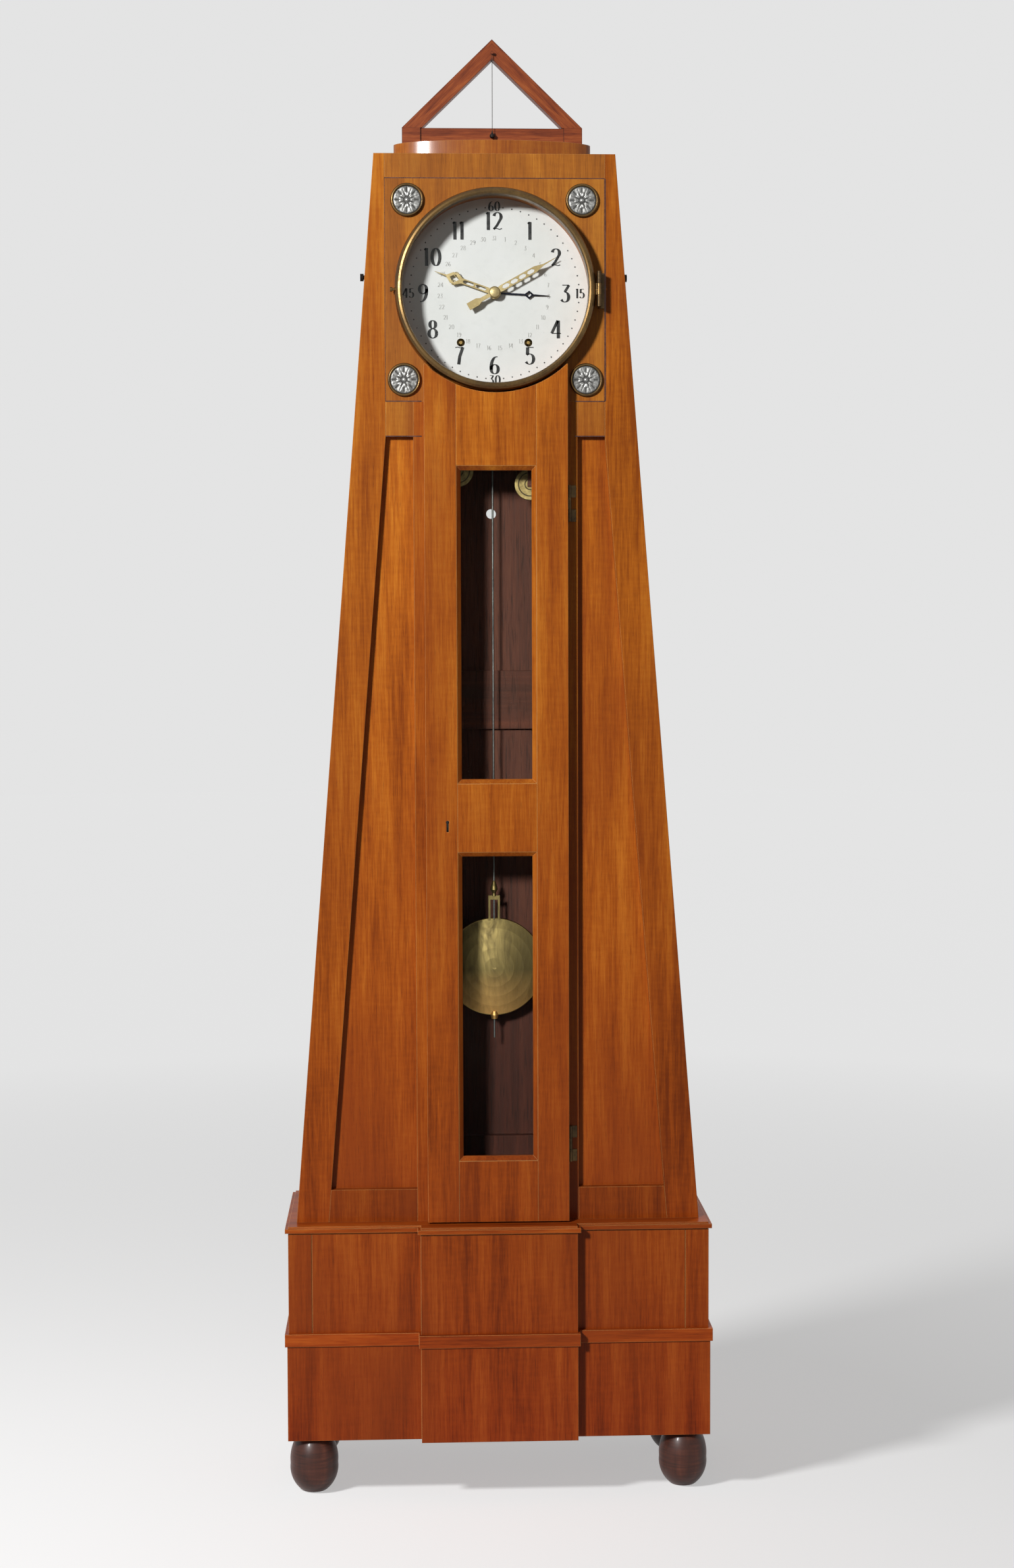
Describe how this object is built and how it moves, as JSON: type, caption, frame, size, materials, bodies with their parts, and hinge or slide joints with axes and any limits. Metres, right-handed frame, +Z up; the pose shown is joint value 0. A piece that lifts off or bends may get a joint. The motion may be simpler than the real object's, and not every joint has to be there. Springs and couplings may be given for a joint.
{
  "type": "longcase clock",
  "caption": "Tapered cherry longcase clock with glazed trunk door, round enamel dial under a hinged bezel, seconds pendulum, weights, and a mason's level with plumb line on top.",
  "frame": {"origin": "on the floor, at the centre of the outline", "axes": "+Z up, +X to the viewer's right, -Y out of the front"},
  "size_m": [0.575, 0.237, 1.959],
  "materials": {
    "cherry": "french-polished cherry, straight grain",
    "dark_wood": "dark-stained turned wood",
    "oak": "brown-stained oak, dull",
    "brass": "polished brass",
    "gilt": "fire-gilt brass",
    "bell_metal": "bell metal",
    "silvered": "silvered cast brass",
    "steel": "polished steel",
    "iron": "blackened iron",
    "blued": "blued steel",
    "enamel": "white fired enamel",
    "glass": "clear sheet glass",
    "cord": "twisted line"
  },
  "bodies": {
    "case": {"back_board": "oak", "ball_feet": "dark_wood", "band_moulding": "cherry", "bell": "bell_metal", "dial_board": "cherry", "dial_plate": "enamel", "door_jambs": "cherry", "field_panels": "cherry", "front_rails": "cherry", "front_stiles": "cherry", "going_line": "cord", "hinge_leaves_case": "brass", "ledge_moulding": "cherry", "level_frame": "cherry", "movement_frame": "brass", "oval_plinth": "cherry", "plinth_carcass": "cherry", "plinth_front": "cherry", "rosettes": "silvered", "seat_board": "oak", "strike_line": "cord", "top_board": "cherry", "trunk_sides": "cherry"},
    "trunk_door": {"door_stiles": "cherry", "door_rails": "cherry", "door_beads": "cherry", "door_glass": "glass", "door_lock": "steel", "hinge_leaves_door": "brass"},
    "lock_bolt": {"lock_bolt": "steel"},
    "bezel": {"bezel_ring": "brass", "bezel_glass": "glass"},
    "side_door_left": {"side_door_left": "cherry"},
    "side_door_right": {"side_door_right": "cherry"},
    "pendulum": {"pendulum_rod": "steel", "pendulum_bob": "brass"},
    "anchor": {"anchor": "steel"},
    "plumb": {"plumb_line": "cord", "plumb_bob": "iron"},
    "centre_arbor": {"centre_wheel": "brass", "minute_hand": "gilt"},
    "hour_hand": {"hour_hand": "gilt"},
    "date_hand": {"date_hand": "blued"},
    "minute_wheel": {"minute_wheel": "brass"},
    "second_wheel": {"second_wheel": "brass"},
    "third_wheel": {"third_wheel": "brass"},
    "escape_wheel": {"escape_wheel": "brass"},
    "going_great_wheel": {"going_great_wheel": "brass"},
    "going_barrel": {"going_barrel": "brass"},
    "going_weight": {"going_weight": "brass"},
    "going_inner_pulley": {"going_inner_pulley": "brass"},
    "going_outer_pulley": {"going_outer_pulley": "brass"},
    "strike_great_wheel": {"strike_great_wheel": "brass"},
    "strike_barrel": {"strike_barrel": "brass"},
    "pin_wheel": {"pin_wheel": "brass"},
    "fly": {"fly": "brass"},
    "hammer": {"hammer": "steel"},
    "strike_weight": {"strike_weight": "brass"},
    "strike_inner_pulley": {"strike_inner_pulley": "brass"},
    "strike_outer_pulley": {"strike_outer_pulley": "brass"}
  },
  "joints": [
    {"name": "door_swing", "type": "hinge", "parent": "case", "child": "trunk_door", "pos_m": [0.0978, -0.0743, 0.9], "axis": [0, 0, 1], "range_deg": [0, 90]},
    {"name": "bolt_throw", "type": "slide", "parent": "trunk_door", "child": "lock_bolt", "axis": [-1, 0, 0], "range_m": [0, 0.009]},
    {"name": "bezel_swing", "type": "hinge", "parent": "case", "child": "bezel", "pos_m": [0.1365, -0.0915, 1.61], "axis": [0, 0, 1], "range_deg": [0, 110]},
    {"name": "side_door_left_swing", "type": "hinge", "parent": "case", "child": "side_door_left", "pos_m": [-0.17373, 0.088, 1.634], "axis": [-0.0787, 0, -0.9969], "range_deg": [0, 95]},
    {"name": "side_door_right_swing", "type": "hinge", "parent": "case", "child": "side_door_right", "pos_m": [0.17373, 0.088, 1.634], "axis": [-0.0787, 0, 0.9969], "range_deg": [0, 95]},
    {"name": "pendulum_swing", "type": "hinge", "parent": "case", "child": "pendulum", "pos_m": [0, 0.0505, 1.689], "axis": [0, 1, 0], "range_deg": [-2.5, 2.5]},
    {"name": "anchor_swing", "type": "hinge", "parent": "case", "child": "anchor", "pos_m": [0, -0.0015, 1.689], "axis": [0, 1, 0], "range_deg": [-2.6, 2.6]},
    {"name": "plumb_swing", "type": "hinge", "parent": "case", "child": "plumb", "pos_m": [0, 0.0097, 1.93957], "axis": [0, 1, 0], "range_deg": [-10, 10]},
    {"name": "centre_spin", "type": "hinge", "parent": "case", "child": "centre_arbor", "pos_m": [0, -0.0115, 1.61], "axis": [0, 1, 0], "continuous": true},
    {"name": "hour_spin", "type": "hinge", "parent": "case", "child": "hour_hand", "pos_m": [0, -0.0515, 1.61], "axis": [0, 1, 0], "continuous": true},
    {"name": "date_spin", "type": "hinge", "parent": "case", "child": "date_hand", "pos_m": [0, -0.0515, 1.61], "axis": [0, 1, 0], "continuous": true},
    {"name": "minute_wheel_spin", "type": "hinge", "parent": "case", "child": "minute_wheel", "pos_m": [0.01471, -0.0375, 1.59766], "axis": [0, 1, 0], "continuous": true},
    {"name": "second_spin", "type": "hinge", "parent": "case", "child": "second_wheel", "pos_m": [-0.03211, -0.0115, 1.59372], "axis": [0, 1, 0], "continuous": true},
    {"name": "third_spin", "type": "hinge", "parent": "case", "child": "third_wheel", "pos_m": [0.00567, -0.0115, 1.6366], "axis": [0, 1, 0], "continuous": true},
    {"name": "escape_spin", "type": "hinge", "parent": "case", "child": "escape_wheel", "pos_m": [0, -0.0115, 1.663], "axis": [0, 1, 0], "continuous": true},
    {"name": "going_great_wheel_spin", "type": "hinge", "parent": "case", "child": "going_great_wheel", "pos_m": [-0.045, -0.0225, 1.545], "axis": [0, 1, 0], "continuous": true},
    {"name": "going_barrel_spin", "type": "hinge", "parent": "case", "child": "going_barrel", "pos_m": [-0.045, -0.0115, 1.545], "axis": [0, 1, 0], "range_deg": [0, 3680]},
    {"name": "going_weight_fall", "type": "slide", "parent": "case", "child": "going_weight", "axis": [0, 0, -1], "range_m": [0, 0.95], "deforming": ["going_line"]},
    {"name": "going_inner_pulley_spin", "type": "hinge", "parent": "case", "child": "going_inner_pulley", "pos_m": [-0.049, -0.0055, 1.378], "axis": [0, 1, 0], "continuous": true},
    {"name": "going_outer_pulley_spin", "type": "hinge", "parent": "case", "child": "going_outer_pulley", "pos_m": [-0.0866, -0.0055, 1.44], "axis": [0, 1, 0], "continuous": true},
    {"name": "pin_wheel_spin", "type": "hinge", "parent": "case", "child": "pin_wheel", "pos_m": [0.045, -0.0115, 1.5954], "axis": [0, 1, 0], "continuous": true},
    {"name": "strike_great_wheel_spin", "type": "hinge", "parent": "case", "child": "strike_great_wheel", "pos_m": [0.045, -0.0225, 1.545], "axis": [0, 1, 0], "continuous": true},
    {"name": "strike_barrel_spin", "type": "hinge", "parent": "case", "child": "strike_barrel", "pos_m": [0.045, -0.0115, 1.545], "axis": [0, 1, 0], "range_deg": [-3680, 0]},
    {"name": "fly_spin", "type": "hinge", "parent": "case", "child": "fly", "pos_m": [0.0586, -0.0115, 1.61896], "axis": [0, 1, 0], "continuous": true},
    {"name": "hammer_swing", "type": "hinge", "parent": "case", "child": "hammer", "pos_m": [0.06, -0.0115, 1.67], "axis": [0, 1, 0], "range_deg": [-2.5, 15]},
    {"name": "strike_weight_fall", "type": "slide", "parent": "case", "child": "strike_weight", "axis": [0, 0, -1], "range_m": [0, 0.95], "deforming": ["strike_line"]},
    {"name": "strike_inner_pulley_spin", "type": "hinge", "parent": "case", "child": "strike_inner_pulley", "pos_m": [0.049, -0.0055, 1.36], "axis": [0, 1, 0], "continuous": true},
    {"name": "strike_outer_pulley_spin", "type": "hinge", "parent": "case", "child": "strike_outer_pulley", "pos_m": [0.0866, -0.0055, 1.44], "axis": [0, 1, 0], "continuous": true}
  ],
  "couplings": [
    {"joint": "anchor_swing", "follows": "pendulum_swing", "ratio": 1},
    {"joint": "hour_spin", "follows": "centre_spin", "ratio": 0.083333},
    {"joint": "date_spin", "follows": "centre_spin", "ratio": 0.0013441},
    {"joint": "minute_wheel_spin", "follows": "centre_spin", "ratio": -0.33333},
    {"joint": "second_spin", "follows": "centre_spin", "ratio": -0.11111},
    {"joint": "third_spin", "follows": "centre_spin", "ratio": -7.5},
    {"joint": "escape_spin", "follows": "centre_spin", "ratio": 60},
    {"joint": "going_great_wheel_spin", "follows": "centre_spin", "ratio": 0.018519},
    {"joint": "going_barrel_spin", "follows": "going_weight_fall", "rad_per_m": 67.568},
    {"joint": "going_inner_pulley_spin", "follows": "going_weight_fall", "rad_per_m": 53.191},
    {"joint": "going_outer_pulley_spin", "follows": "going_weight_fall", "rad_per_m": -53.191},
    {"joint": "strike_great_wheel_spin", "follows": "pin_wheel_spin", "ratio": -0.16667},
    {"joint": "fly_spin", "follows": "pin_wheel_spin", "ratio": -7.5},
    {"joint": "strike_barrel_spin", "follows": "strike_weight_fall", "rad_per_m": -67.568},
    {"joint": "strike_inner_pulley_spin", "follows": "strike_weight_fall", "rad_per_m": -53.191},
    {"joint": "strike_outer_pulley_spin", "follows": "strike_weight_fall", "rad_per_m": 53.191}
  ]
}
